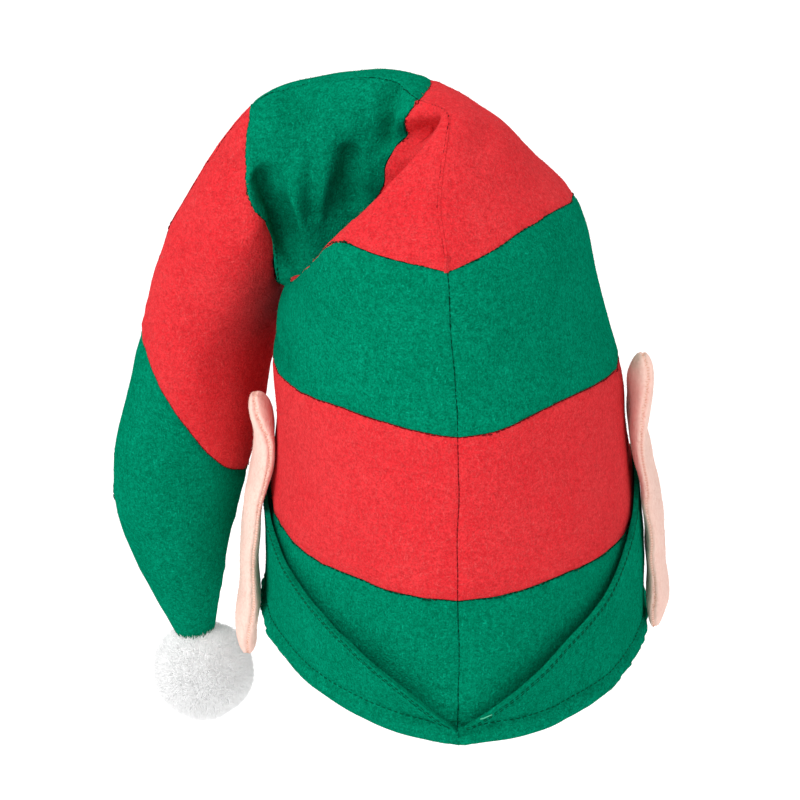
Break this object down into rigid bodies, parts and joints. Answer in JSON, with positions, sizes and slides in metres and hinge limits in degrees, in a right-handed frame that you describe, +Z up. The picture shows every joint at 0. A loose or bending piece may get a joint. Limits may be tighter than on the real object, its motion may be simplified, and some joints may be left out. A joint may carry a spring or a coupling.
{
  "type": "elf hat",
  "caption": "Striped felt elf hat with a turned-up cuff, padded pointed side ears, and a tail that folds over and hangs beside the crown with a pompom at its tip.",
  "frame": {"origin": "middle of the head opening, at the level of the rim's sides", "axes": "+Z up along the crown, -Y the front of the hat, +X the side away from the hanging tail"},
  "size_m": [0.2582, 0.2203, 0.3324],
  "materials": {
    "felt_green": "soft matte felt, green",
    "felt_red": "soft matte felt, red",
    "ear_fleece": "short pale pink fleece",
    "pompom_yarn": "fluffy white yarn"
  },
  "bodies": {
    "root": {"brim_band_left": "felt_green", "brim_band_right": "felt_green", "lower_band_left": "felt_red", "lower_band_right": "felt_red", "middle_band_left": "felt_green", "middle_band_right": "felt_green", "shoulder_band_left": "felt_red", "shoulder_band_right": "felt_red", "fold_band_left": "felt_green", "fold_band_right": "felt_green", "tail_band_left": "felt_red", "tail_band_right": "felt_red", "tip_band_left": "felt_green", "tip_band_right": "felt_green", "cuff_left": "felt_green", "cuff_right": "felt_green", "ear_left": "ear_fleece", "ear_right": "ear_fleece", "pompom": "pompom_yarn"}
  },
  "joints": []
}
